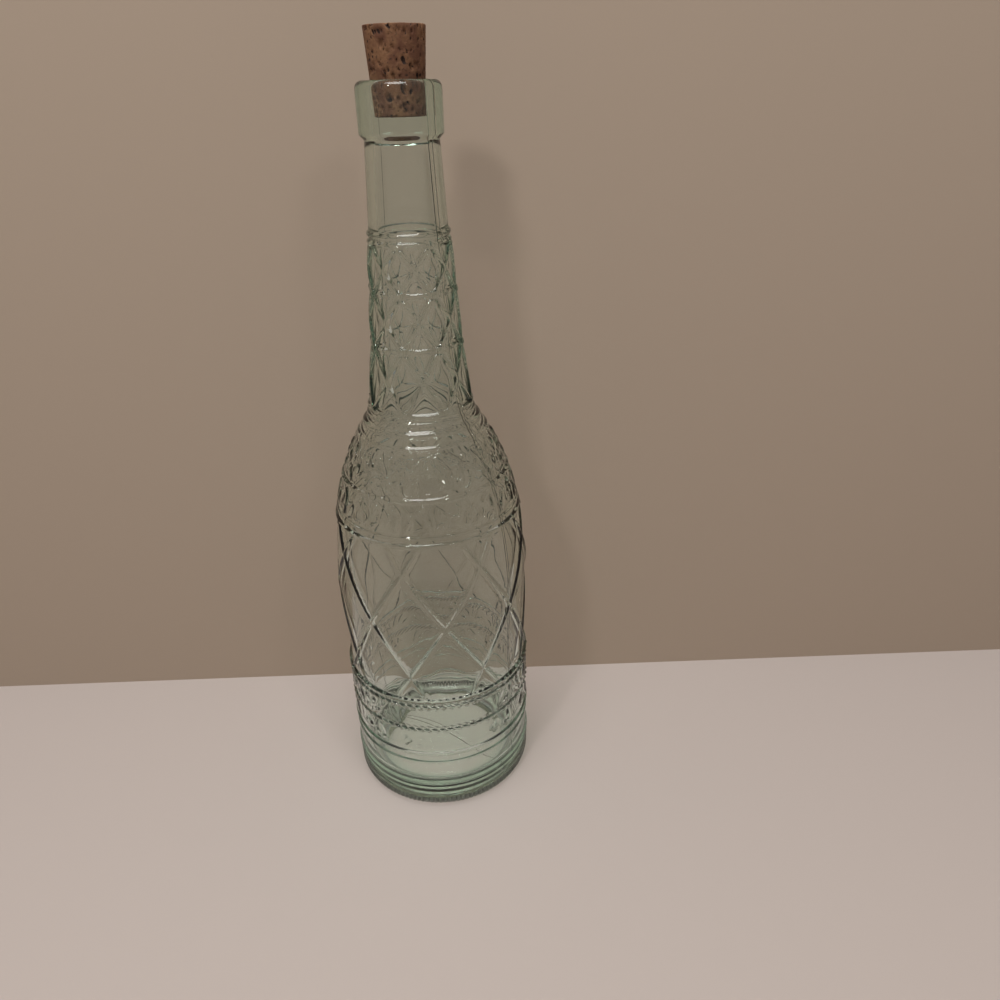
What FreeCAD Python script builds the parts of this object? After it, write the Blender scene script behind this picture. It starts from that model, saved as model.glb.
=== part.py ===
import FreeCAD, Part
import math
import os

# Mould-blown glass decanter: a slender bottle with a heavy collar, a long flared neck, an egg-shaped
# shoulder and a straight lower band, closed by a tapered cork. A lattice of crossing ribs stands in
# relief on the belly and on the neck. Millimetres, +Z up, the origin at the middle of the standing
# ring, on the surface it stands on.

# ---- overall sizes ------------------------------------------------------------------------------
bottle_height = 290.0          # standing ring to the top of the lip
body_radius = 40.0             # fullest radius, at the belly
band_inset = 0.4               # how far the straight lower band lies inside the fullest radius
waist_inset = 0.9              # and the slight waist above it

# ---- heights along the body, each one measured from the level before it --------------------------
band_height = 61.8             # straight lower band
waist_rise = 7.2               # from the band's top up to the waist
belly_rise = 36.0              # from the waist up to the fullest level
shoulder_rise = 69.2           # from there up to the junction with the neck
shoulder_reach = 1.2           # the shoulder's arc would close at this many times that rise

# ---- neck and collar ----------------------------------------------------------------------------
collar_height = 17.6           # from the lip down to the underside of the collar
collar_radius = 14.3
collar_overhang = 1.55         # how far the collar stands out from the neck under it
collar_step = 1.7              # height of the slope under the collar
lip_round = 2.4                # outer edge of the lip
neck_lean = 0.045              # slope of the neck where it meets the collar
neck_stations = (              # share of the neck's height, share of its flare
    (0.065, 0.744),
    (0.303, 0.418),
    (0.700, 0.150),
)

# ---- wall and mouth -----------------------------------------------------------------------------
wall = 3.0                     # body and shoulder
neck_wall = 3.3
mouth_narrowing = 0.3          # the bore is narrower at the mouth than under the collar
mouth_round = 0.8              # inner edge of the lip

# ---- foot ---------------------------------------------------------------------------------------
heel_round = 4.0
stand_width = 4.2              # flat ring that the bottle stands on
punt_depth = 5.5               # hollow under the foot
base_thickness = 6.5
floor_corner = 12.0            # inside corner between the wall and the floor

# ---- moulded rings: half width and how far each stands proud, places as shares of their stretch ---
main_ring = (1.15, 0.8)
fine_ring = (0.7, 0.45)
band_main_rings = (0.235, 0.519, 1.0)
band_fine_rings = (0.128, 0.181, 0.443, 0.741, 0.945)
shoulder_main_rings = (0.436, 0.682, 1.0)
shoulder_fine_rings = (0.485, 0.936)
neck_main_rings = (0.065, 0.303, 0.501, 0.672, 0.700)
neck_fine_rings = (0.035,)

# ---- lattice of crossing ribs -------------------------------------------------------------------
rib_height = 0.65              # how far a rib stands proud
rib_root = 1.2                 # how deep it is rooted in the wall
rib_top = 0.6                  # width of its crest
rib_foot = 1.5                 # width where it leaves the wall
rib_pairs = 8                  # pairs of crossing ribs round the bottle
belly_cells = 2.9              # half cells between the band and the first ring of the shoulder
belly_crossing = 0.495         # share of that stretch at which the ribs cross in front

# ---- cork ---------------------------------------------------------------------------------------
cork_oversize = 0.95           # the cork's top radius is larger than the mouth by this
cork_undersize = 0.75          # and its bottom radius smaller
cork_length = 26.1
cork_clearance = 0.1           # between the cork's taper and the mouth at its tightest
cork_edge = 0.4

# ---- worked out from the sizes above ------------------------------------------------------------
band_radius = body_radius - band_inset
waist_radius = body_radius - waist_inset
waist_height = band_height + waist_rise
belly_height = waist_height + belly_rise
junction_height = belly_height + shoulder_rise
collar_foot = bottle_height - collar_height
neck_height = collar_foot - junction_height
neck_top_radius = collar_radius - collar_overhang
bore_radius = neck_top_radius - neck_wall - mouth_narrowing
stand_outer = band_radius - heel_round
stand_inner = stand_outer - stand_width

UP = FreeCAD.Vector(0.0, 0.0, 1.0)
ORIGIN = FreeCAD.Vector(0.0, 0.0, 0.0)
QUARTER = math.pi / 2.0
HALF_CELL = math.pi / rib_pairs


def at(radius, height):
    """Return the point of the half section at a radius and a height."""
    return FreeCAD.Vector(radius, 0.0, height)


def around(radius, angle, height):
    """Return the point at an angle measured from the front."""
    return FreeCAD.Vector(radius * math.sin(angle), -radius * math.cos(angle), height)


def line(start, end):
    """Return a straight edge."""
    return Part.LineSegment(start, end).toShape()


def spline(points, start_tangent, end_tangent):
    """Return one smooth edge through the points, leaving and arriving along the tangents."""
    curve = Part.BSplineCurve()
    curve.interpolate(Points=points, InitialTangent=start_tangent, FinalTangent=end_tangent)
    return curve.toShape()


def round_corner(start, centre, end):
    """Return the arc about centre from start to end, the short way round."""
    middle = (start + end) * 0.5 - centre
    middle.normalize()
    return Part.Arc(start, centre + middle * (start - centre).Length, end).toShape()


def dome(rim_radius, rim_height, apex_height):
    """Return the spherical arc from a rim up to its apex on the axis."""
    rise = apex_height - rim_height
    sphere = (rim_radius ** 2 + rise ** 2) / (2.0 * rise)
    half_angle = math.asin(rim_radius / sphere) / 2.0
    centre_height = apex_height - sphere
    middle = at(sphere * math.sin(half_angle), centre_height + sphere * math.cos(half_angle))
    return Part.Arc(at(rim_radius, rim_height), middle, at(0.0, apex_height)).toShape()


def shoulder(inset, top_height):
    """Return the shoulder's elliptic arc, its inside end radius and the slope there."""
    rise = shoulder_rise * shoulder_reach - inset
    reach = body_radius - inset
    centre = at(0.0, belly_height)
    ellipse = Part.Ellipse(at(0.0, belly_height + rise), at(reach, belly_height), centre)
    angle = math.acos((top_height - belly_height) / rise)
    arc = Part.ArcOfEllipse(ellipse, angle, QUARTER).toShape()
    slope = FreeCAD.Vector(-reach * math.cos(angle), 0.0, rise * math.sin(angle))
    return arc, reach * math.sin(angle), slope


def neck_points(inset):
    """Return the points that the neck's curve passes through above the junction."""
    junction_radius = shoulder(0.0, junction_height)[1]
    points = []
    for height_share, flare_share in neck_stations + ((1.0, 0.0),):
        radius = neck_top_radius + flare_share * (junction_radius - neck_top_radius)
        points.append(at(radius - inset, junction_height + height_share * neck_height))
    return points


def side(inset, neck_inset, root_height, band_foot):
    """Return the chain of edges from the foot of the band up to the top of the neck.

    inset and neck_inset move the chain inwards for the inside of the wall.
    """
    shoulder_edge, root_radius, slope = shoulder(inset, root_height)
    band_side = band_radius - inset
    band = line(at(band_side, band_foot), at(band_side, band_height))
    waist = spline(
        [
            at(band_side, band_height),
            at(waist_radius - inset, waist_height),
            at(body_radius - inset, belly_height),
        ],
        FreeCAD.Vector(-0.1, 0.0, 1.0),
        UP,
    )
    neck = spline(
        [at(root_radius, root_height)] + neck_points(neck_inset),
        slope,
        FreeCAD.Vector(-neck_lean, 0.0, 1.0),
    )
    return [band, waist, shoulder_edge, neck]


def section(edges):
    """Return the flat face bounded by a closed chain of edges."""
    return Part.Face(Part.Wire(Part.__sortEdges__(edges)))


def outer_section():
    """Return the half section of the bottle as if it were solid, without its rings."""
    lip_foot = bottle_height - lip_round
    lip_radius = collar_radius - lip_round
    edges = side(0.0, 0.0, junction_height, heel_round)
    edges += [
        dome(stand_inner, 0.0, punt_depth),
        line(at(stand_inner, 0.0), at(stand_outer, 0.0)),
        round_corner(at(stand_outer, 0.0), at(stand_outer, heel_round), at(band_radius, heel_round)),
        line(at(neck_top_radius, collar_foot), at(collar_radius, collar_foot + collar_step)),
        line(at(collar_radius, collar_foot + collar_step), at(collar_radius, lip_foot)),
        round_corner(at(collar_radius, lip_foot), at(lip_radius, lip_foot), at(lip_radius, bottle_height)),
        line(at(lip_radius, bottle_height), at(0.0, bottle_height)),
        line(at(0.0, bottle_height), at(0.0, punt_depth)),
    ]
    return section(edges)


def inner_section():
    """Return the half section of the hollow, from the floor out through the mouth."""
    inner_band = band_radius - wall
    corner_radius = inner_band - floor_corner
    corner_top = base_thickness + floor_corner
    floor_apex = punt_depth + base_thickness
    mouth_outer = bore_radius + mouth_round
    mouth_foot = bottle_height - mouth_round
    above = bottle_height + mouth_round
    edges = side(wall, neck_wall, junction_height - 0.8 * wall, corner_top)
    edges += [
        dome(corner_radius, base_thickness, floor_apex),
        round_corner(
            at(corner_radius, base_thickness),
            at(corner_radius, corner_top),
            at(inner_band, corner_top),
        ),
        line(at(neck_top_radius - neck_wall, collar_foot), at(bore_radius, mouth_foot)),
        round_corner(
            at(bore_radius, mouth_foot),
            at(mouth_outer, mouth_foot),
            at(mouth_outer, bottle_height),
        ),
        line(at(mouth_outer, bottle_height), at(mouth_outer, above)),
        line(at(mouth_outer, above), at(0.0, above)),
        line(at(0.0, above), at(0.0, floor_apex)),
    ]
    return section(edges)


def radius_at(outline, height):
    """Return the radius of a half section at a height."""
    probe = line(at(0.0, height), at(2.0 * body_radius, height))
    return outline.common(probe).BoundBox.XMax


def ring_section(outline, height, ring):
    """Return the round section of one moulded ring, set into the surface at a height."""
    half_width, proud = ring
    rounding = (half_width ** 2 + proud ** 2) / (2.0 * proud)
    centre = at(radius_at(outline, height) + proud - rounding, height)
    circle = Part.Circle(centre, FreeCAD.Vector(0.0, -1.0, 0.0), rounding)
    return Part.Face(Part.Wire(circle.toShape()))


def ring_sections(outline):
    """Return the sections of all the moulded rings."""
    rings = []
    for foot, rise, main_shares, fine_shares in (
        (0.0, band_height, band_main_rings, band_fine_rings),
        (belly_height, shoulder_rise, shoulder_main_rings, shoulder_fine_rings),
        (junction_height, neck_height, neck_main_rings, neck_fine_rings),
    ):
        for share in main_shares:
            rings.append(ring_section(outline, foot + share * rise, main_ring))
        for share in fine_shares:
            rings.append(ring_section(outline, foot + share * rise, fine_ring))
    return rings


def rib_line(path, direction, proud, aside):
    """Return one long edge of a rib.

    path holds the rib's stations as (height, radius, half cells turned); proud is the edge's distance
    out from the surface and aside its distance along the surface from the rib's middle.
    """
    points = []
    for height, radius, cells in path:
        angle = direction * HALF_CELL * cells + aside / radius
        points.append(around(radius + proud, angle, height))
    curve = Part.BSplineCurve()
    curve.interpolate(points)
    return curve.toShape()


def rib_blank(path, direction):
    """Return the wedge-shaped blank of one rib, deeper and prouder than the rib itself."""
    rise = path[-1][0] - path[0][0]
    run = (path[-1][2] - path[0][2]) * HALF_CELL * (path[-1][1] + path[0][1]) / 2.0
    lean = math.hypot(rise, run) / rise
    edges = []
    for proud in (-1.3 * rib_root, 2.0 * rib_height):
        half_width = (rib_foot + (rib_top - rib_foot) * proud / rib_height) / 2.0 * lean
        for aside in (-half_width, half_width):
            edges.append(rib_line(path, direction, proud, aside))
    deep_left, deep_right, crest_left, crest_right = edges
    around_rib = (deep_left, deep_right, crest_right, crest_left)
    faces = []
    for first, second in zip(around_rib, around_rib[1:] + around_rib[:1]):
        faces.append(Part.makeRuledSurface(first, second))
    for end in (0, -1):
        corners = [edge.Vertexes[end].Point for edge in around_rib]
        faces.append(Part.Face(Part.makePolygon(corners + corners[:1])))
    shell = Part.makeShell(faces)
    shell.sewShape()
    blank = Part.Solid(shell)
    if blank.Volume < 0.0:
        blank.reverse()
    return blank


def sleeve(foot, top):
    """Return the thin sleeve that the ribs of one stretch are cut from."""
    skins = []
    for inset in (-rib_height, rib_root):
        edges = side(inset, inset, junction_height, heel_round)
        corners = [
            at(neck_top_radius - inset, collar_foot), at(0.0, collar_foot), at(0.0, heel_round),
            at(band_radius - inset, heel_round),
        ]
        edges += [line(start, end) for start, end in zip(corners, corners[1:])]
        skins.append(section(edges))
    far = 2.0 * body_radius
    window = Part.makePolygon([at(0.0, foot), at(far, foot), at(far, top), at(0.0, top), at(0.0, foot)])
    flat = skins[0].cut(skins[1]).common(Part.Face(window))
    return flat.Faces[0].revolve(ORIGIN, UP, 360.0)


def add_lattice(glass, outline, levels, steps):
    """Return the glass with crossing ribs fused on between the first and the last level.

    levels holds pairs of height and half cells turned, and steps is how many stations a rib takes
    between two levels.
    """
    path = []
    for (low, low_cells), (high, high_cells) in zip(levels, levels[1:]):
        for step in range(steps + 1):
            share = step / steps
            height = low + (high - low) * share
            path.append((height, radius_at(outline, height), low_cells + (high_cells - low_cells) * share))
    blank_sleeve = sleeve(levels[0][0], levels[-1][0])
    for direction in (1.0, -1.0):
        rib = blank_sleeve.common(rib_blank(path, direction)).Solids[0]
        family = []
        for pair in range(rib_pairs):
            turned = rib.copy()
            turned.rotate(ORIGIN, UP, 360.0 * pair / rib_pairs)
            family.append(turned)
        glass = glass.fuse(Part.makeCompound(family))
    return glass


def stretch(flat, foot, top):
    """Return the glass turned from the part of the half section between two heights."""
    far = 2.0 * body_radius
    window = Part.makePolygon([at(0.0, foot), at(far, foot), at(far, top), at(0.0, top), at(0.0, foot)])
    return flat.common(Part.Face(window)).Faces[0].revolve(ORIGIN, UP, 360.0)


def make_bottle():
    """Return the hollow bottle with its moulded rings and its lattices of ribs."""
    outline = outer_section()
    ringed = outline.fuse(ring_sections(outline)).removeSplitter()
    flat = ringed.cut(inner_section())
    knots = [junction_height + share * neck_height for share in neck_main_rings[:4]]
    body = stretch(flat, 0.0, knots[0])
    neck = stretch(flat, knots[0], bottle_height)

    lattice_top = belly_height + shoulder_main_rings[0] * shoulder_rise
    belly_levels = (
        (band_height, -belly_crossing * belly_cells),
        (lattice_top, (1.0 - belly_crossing) * belly_cells),
    )
    body = add_lattice(body, outline, belly_levels, 8)
    for low, high in zip(knots, knots[1:]):
        neck = add_lattice(neck, outline, ((low, -1.0), (high, 1.0)), 6)
    return body.fuse(neck).removeSplitter().Solids[0]


def make_cork():
    """Return the tapered cork, wedged where its taper meets the mouth."""
    top_radius = bore_radius + cork_oversize
    bottom_radius = bore_radius - cork_undersize
    taper = (top_radius - bottom_radius) / cork_length
    depth = (bore_radius - cork_clearance - bottom_radius) / taper
    foot = bottle_height - mouth_round - depth
    cork = Part.makeCone(bottom_radius, top_radius, cork_length, at(0.0, foot), UP)
    rims = [edge for edge in cork.Edges if isinstance(edge.Curve, Part.Circle)]
    return cork.makeFillet(cork_edge, rims)


def main():
    """Build each piece and write it under its node's name."""
    os.makedirs("parts", exist_ok=True)
    for node, shape in (("bottle", make_bottle()), ("cork", make_cork())):
        solid = shape if shape.ShapeType == "Solid" else shape.Solids[0]
        box = solid.BoundBox
        heights = (round(box.ZMin, 2), round(box.ZMax, 2))
        print(node, "valid", solid.isValid(), "volume", round(solid.Volume, 1), "heights", heights)
        solid.exportStep("parts/" + node + ".step")


main()
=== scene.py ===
"""Mould-blown glass decanter with a tapered cork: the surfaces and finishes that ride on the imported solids.

Everything is in metres in the part's own frame: +Z up, the origin at the middle of the standing ring,
the front towards -Y. Angles round the bottle are measured from the front towards +X.
"""

import logging
import math
from collections.abc import Iterable
from dataclasses import dataclass
from enum import Enum
from functools import reduce

import bpy
import numpy as np
from mathutils import Matrix, Vector

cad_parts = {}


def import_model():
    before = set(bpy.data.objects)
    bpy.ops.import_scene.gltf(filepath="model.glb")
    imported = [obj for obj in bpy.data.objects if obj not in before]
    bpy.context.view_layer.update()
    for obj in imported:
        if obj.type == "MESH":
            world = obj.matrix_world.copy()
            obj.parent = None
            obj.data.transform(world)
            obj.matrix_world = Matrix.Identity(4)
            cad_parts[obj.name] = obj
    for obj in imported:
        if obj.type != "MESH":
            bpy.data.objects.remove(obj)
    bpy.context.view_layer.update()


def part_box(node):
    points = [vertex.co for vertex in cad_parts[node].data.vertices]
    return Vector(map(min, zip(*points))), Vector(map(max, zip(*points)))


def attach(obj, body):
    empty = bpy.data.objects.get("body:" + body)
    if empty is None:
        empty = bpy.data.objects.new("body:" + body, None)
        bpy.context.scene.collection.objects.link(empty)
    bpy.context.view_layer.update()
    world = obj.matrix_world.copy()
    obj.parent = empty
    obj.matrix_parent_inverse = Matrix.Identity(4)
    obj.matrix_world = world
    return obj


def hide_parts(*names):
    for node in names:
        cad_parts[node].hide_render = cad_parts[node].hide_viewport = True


LOG = logging.getLogger("decanter")
MM = 0.001
TURN = 2.0 * math.pi
PER_MM = 1.0 / MM


# ---- node expressions ---------------------------------------------------------------------------


class Wire:
    """A node socket that takes part in arithmetic, so that node maths reads as Python."""

    def __init__(self, tree: bpy.types.NodeTree, socket: bpy.types.NodeSocket) -> None:
        """Hold the socket and the tree it belongs to."""
        self.tree = tree
        self.socket = socket

    def math(self, operation: str, *others: "Wire | float") -> "Wire":
        """Run a Math node on this socket.

        Args:
            operation: The Math node's operation.
            others: The node's further operands.

        Returns:
            The result's wire.
        """
        return chain(self.tree, operation, self, *others)

    def __add__(self, other: "Wire | float") -> "Wire":
        """Add."""
        return self.math("ADD", other)

    __radd__ = __add__

    def __sub__(self, other: "Wire | float") -> "Wire":
        """Subtract."""
        return self.math("SUBTRACT", other)

    def __rsub__(self, other: float) -> "Wire":
        """Subtract this from a number."""
        return chain(self.tree, "SUBTRACT", other, self)

    def __mul__(self, other: "Wire | float") -> "Wire":
        """Multiply."""
        return self.math("MULTIPLY", other)

    __rmul__ = __mul__

    def __truediv__(self, other: "Wire | float") -> "Wire":
        """Divide."""
        return self.math("DIVIDE", other)

    def __rtruediv__(self, other: float) -> "Wire":
        """Divide a number by this."""
        return chain(self.tree, "DIVIDE", other, self)

    def __pow__(self, other: float) -> "Wire":
        """Raise to a power."""
        return self.math("POWER", other)

    def __neg__(self) -> "Wire":
        """Negate."""
        return self.math("MULTIPLY", -1.0)

    def __abs__(self) -> "Wire":
        """Drop the sign."""
        return self.math("ABSOLUTE")

    def wrapped(self, period: float) -> "Wire":
        """Wrap into half a period either side of zero."""
        return self.math("WRAP", 0.5 * period, -0.5 * period)

    def larger(self, other: "Wire | float") -> "Wire":
        """Take the larger of two."""
        return self.math("MAXIMUM", other)

    def smaller(self, other: "Wire | float") -> "Wire":
        """Take the smaller of two."""
        return self.math("MINIMUM", other)

    def hypot(self, other: "Wire | float") -> "Wire":
        """Return the length of the two as a vector."""
        return (self * self + other * other).math("SQRT")

    def ramp(self, low: float, high: float) -> "Wire":
        """Rise smoothly from 0 to 1.

        Args:
            low: Where the rise starts.
            high: Where it ends.

        Returns:
            The result's wire.
        """
        settings = {"interpolation_type": "SMOOTHSTEP"}
        values = {0: self, 1: low, 2: high, 3: 0.0, 4: 1.0}
        node = add_node(self.tree, "ShaderNodeMapRange", settings, values)
        return Wire(self.tree, node.outputs[0])


def feed(tree: bpy.types.NodeTree, slot: bpy.types.NodeSocket, value: object) -> None:
    """Link a wire to a socket, or set the socket's own value.

    Args:
        tree: The tree of the socket.
        slot: The input socket.
        value: A wire, a socket or a plain value.
    """
    if isinstance(value, Wire):
        tree.links.new(value.socket, slot)
    elif isinstance(value, bpy.types.NodeSocket):
        tree.links.new(value, slot)
    else:
        slot.default_value = value


def add_node(
    tree: bpy.types.NodeTree, kind: str, settings: dict | None = None, values: dict | None = None
) -> bpy.types.Node:
    """Add any node.

    Args:
        tree: The tree to add to.
        kind: The node's type name.
        settings: Attributes of the node.
        values: Input values or wires, by socket name or index.

    Returns:
        The new node.
    """
    node = tree.nodes.new(kind)
    for name, value in (settings or {}).items():
        setattr(node, name, value)
    for key, value in (values or {}).items():
        feed(tree, node.inputs[key], value)
    return node


def chain(tree: bpy.types.NodeTree, operation: str, *operands: "Wire | float") -> Wire:
    """Add a Math node and return its wire."""
    node = add_node(tree, "ShaderNodeMath", {"operation": operation}, dict(enumerate(operands)))
    return Wire(tree, node.outputs[0])


def split(tree: bpy.types.NodeTree, place: bpy.types.NodeSocket) -> list[Wire]:
    """Return the three numbers of a vector or a colour as wires."""
    node = add_node(tree, "ShaderNodeSeparateXYZ", None, {0: place})
    return [Wire(tree, socket) for socket in node.outputs]


def noise(tree: bpy.types.NodeTree, values: dict) -> Wire:
    """Add a noise texture and return its wire."""
    return Wire(tree, add_node(tree, "ShaderNodeTexNoise", None, values).outputs[0])


class ReliefTree:
    """A Geometry Nodes tree that moves a mesh along its normals and dresses it."""

    def __init__(self, name: str, sizes: tuple[str, ...]) -> None:
        """Start the tree.

        Args:
            name: The tree's name.
            sizes: The names of the sizes that it takes, besides the mesh and its material.
        """
        self.tree = bpy.data.node_groups.new(name, "GeometryNodeTree")
        sockets = self.tree.interface
        sockets.new_socket("Geometry", in_out="INPUT", socket_type="NodeSocketGeometry")
        for size in sizes:
            sockets.new_socket(size, in_out="INPUT", socket_type="NodeSocketFloat")
        sockets.new_socket("Material", in_out="INPUT", socket_type="NodeSocketMaterial")
        sockets.new_socket("Geometry", in_out="OUTPUT", socket_type="NodeSocketGeometry")
        group = add_node(self.tree, "NodeGroupInput")
        self.given = {title: Wire(self.tree, socket) for title, socket in group.outputs.items() if title}
        self.place = add_node(self.tree, "GeometryNodeInputPosition").outputs[0]

    def raised(self, lift: Wire) -> bpy.types.NodeTree:
        """End the tree.

        Args:
            lift: How far each point moves outwards, in metres.

        Returns:
            The tree.
        """
        tree = self.tree
        normal = add_node(tree, "GeometryNodeInputNormal").outputs[0]
        offset = add_node(tree, "ShaderNodeVectorMath", {"operation": "SCALE"}, {0: normal, "Scale": lift})
        values = {"Geometry": self.given["Geometry"], "Offset": offset.outputs[0]}
        moved = add_node(tree, "GeometryNodeSetPosition", None, values)
        real = add_node(tree, "GeometryNodeRealizeInstances", None, {0: moved.outputs[0]})
        values = {"Geometry": real.outputs[0], "Material": self.given["Material"]}
        dressed = add_node(tree, "GeometryNodeSetMaterial", None, values)
        add_node(tree, "NodeGroupOutput", None, {"Geometry": dressed.outputs[0]})
        return tree


def grow(base: bpy.types.Object, tree: bpy.types.NodeTree, values: dict) -> bpy.types.Object:
    """Run a Geometry Nodes tree on an object once and keep the mesh it makes.

    Args:
        base: The object that the tree starts from.
        tree: The tree.
        values: Values of its inputs by name.

    Returns:
        The same object with its new mesh and no modifier.
    """
    modifier = base.modifiers.new(tree.name, "NODES")
    modifier.node_group = tree
    for item in tree.interface.items_tree:
        if item.in_out == "INPUT" and item.name in values:
            modifier[item.identifier] = values[item.name]
    bpy.context.view_layer.update()
    evaluated = base.evaluated_get(bpy.context.evaluated_depsgraph_get())
    mesh = bpy.data.meshes.new_from_object(evaluated)
    base.modifiers.clear()
    base.data = mesh
    mesh.name = base.name
    return base


# ---- moulded patterns ---------------------------------------------------------------------------


def rope_grooves(angle: Wire, aside: Wire, strands: int) -> Wire:
    """Return how deep between a rope's strands a place lies, from 0 to 1."""
    return ((angle * strands + aside * 3.0).math("SINE") * 0.5 + 0.5) ** 2.0


def bead_grooves(angle: Wire, beads: int) -> Wire:
    """Return how deep between the heel's beads a place lies, from 0 to 1."""
    return (angle * beads).math("COSINE") * 0.5 + 0.5


@dataclass(frozen=True)
class Leaf:
    """A pointed leaf lying on the wall, in millimetres from the middle of its repeat."""

    across: float
    up: float
    lean: float
    length: float
    width: float

    def inside(self, x: Wire, y: Wire) -> Wire:
        """Measure how far inside the leaf's edge a place lies.

        Args:
            x: Place along the band.
            y: Place up the band.

        Returns:
            Millimetres inside the edge, negative outside.
        """
        turn = math.radians(self.lean)
        shifted_x = x - self.across
        shifted_y = y - self.up
        along = (shifted_x * math.sin(turn) + shifted_y * math.cos(turn)) / self.length
        aside = abs(shifted_x * math.cos(turn) - shifted_y * math.sin(turn))
        return along * (1.0 - along) * (2.0 * self.width) - aside


@dataclass(frozen=True)
class Tendril:
    """A round tendril, an open circle of fine line, in millimetres from the middle of its repeat."""

    across: float
    up: float
    radius: float
    thickness: float = 0.75

    def inside(self, x: Wire, y: Wire) -> Wire:
        """Return the millimetres that a place lies inside the line's edge."""
        reach = (x - self.across).hypot(y - self.up)
        return 0.5 * self.thickness - abs(reach - self.radius)


@dataclass(frozen=True)
class Stem:
    """A stem that runs round the bottle in waves."""

    swing: float
    waves: float = 1.0
    thickness: float = 0.8

    def inside(self, x: Wire, y: Wire, repeat: float) -> Wire:
        """Return the millimetres that a place lies inside the stem's edge."""
        wave = (x * (self.waves * TURN / repeat)).math("SINE") * self.swing
        return 0.5 * self.thickness - 0.75 * abs(y - wave)


@dataclass(frozen=True)
class Band:
    """A band of leaves, tendrils and stems, repeated round the bottle."""

    foot: float
    top: float
    radius: float
    repeats: int
    motifs: tuple
    stem: Stem | None = None
    turned: float = 0.0
    quiet_front: float = 0.0

    def field(self, angle: Wire, height: Wire) -> Wire:
        """Write the band's relief as nodes.

        Args:
            angle: Angle round the bottle.
            height: Height in millimetres.

        Returns:
            The relief from 0 to 1.
        """
        middle = 0.5 * (self.foot + self.top) * PER_MM
        radius = self.radius * PER_MM
        repeat = TURN * radius / self.repeats
        x = (angle - self.turned).wrapped(TURN / self.repeats) * radius
        y = height - middle
        inside = reduce(Wire.larger, (motif.inside(x, y) for motif in self.motifs))
        if self.stem is not None:
            inside = inside.larger(self.stem.inside(x, y, repeat))
        half = 0.5 * (self.top - self.foot) * PER_MM
        relief = inside.ramp(0.0, 0.7) * (half - abs(y)).ramp(0.6, 1.4)
        if self.quiet_front > 0.0:
            quiet = self.quiet_front
            relief = relief * abs(angle).ramp(0.75 * quiet, 1.25 * quiet)
        return relief


# ---- the turned profile -------------------------------------------------------------------------


def clamped_spline(points: np.ndarray, start: np.ndarray, end: np.ndarray, count: int) -> np.ndarray:
    """Sample the smooth curve through points that leaves and arrives along two directions.

    Args:
        points: The points, one a row.
        start: Direction at the first point.
        end: Direction at the last point.
        count: Samples on each span.

    Returns:
        The samples, one a row.
    """
    spans = np.linalg.norm(np.diff(points, axis=0), axis=1)
    size = len(points)
    system = np.eye(size)
    known = np.zeros_like(points)
    known[0] = start / np.linalg.norm(start)
    known[-1] = end / np.linalg.norm(end)
    for i in range(1, size - 1):
        before, after = spans[i - 1], spans[i]
        system[i, i - 1 : i + 2] = (after, 2.0 * (before + after), before)
        slope_before = (points[i] - points[i - 1]) / before
        slope_after = (points[i + 1] - points[i]) / after
        known[i] = 3.0 * (after * slope_before + before * slope_after)
    slopes = np.linalg.solve(system, known)
    samples = []
    for i, span in enumerate(spans):
        t = np.linspace(0.0, 1.0, count, endpoint=i == size - 2)[:, None]
        samples.append(
            (1 + 2 * t) * (1 - t) ** 2 * points[i]
            + t * (1 - t) ** 2 * span * slopes[i]
            + t * t * (3 - 2 * t) * points[i + 1]
            - t * t * (1 - t) * span * slopes[i + 1]
        )
    return np.vstack(samples)


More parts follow.
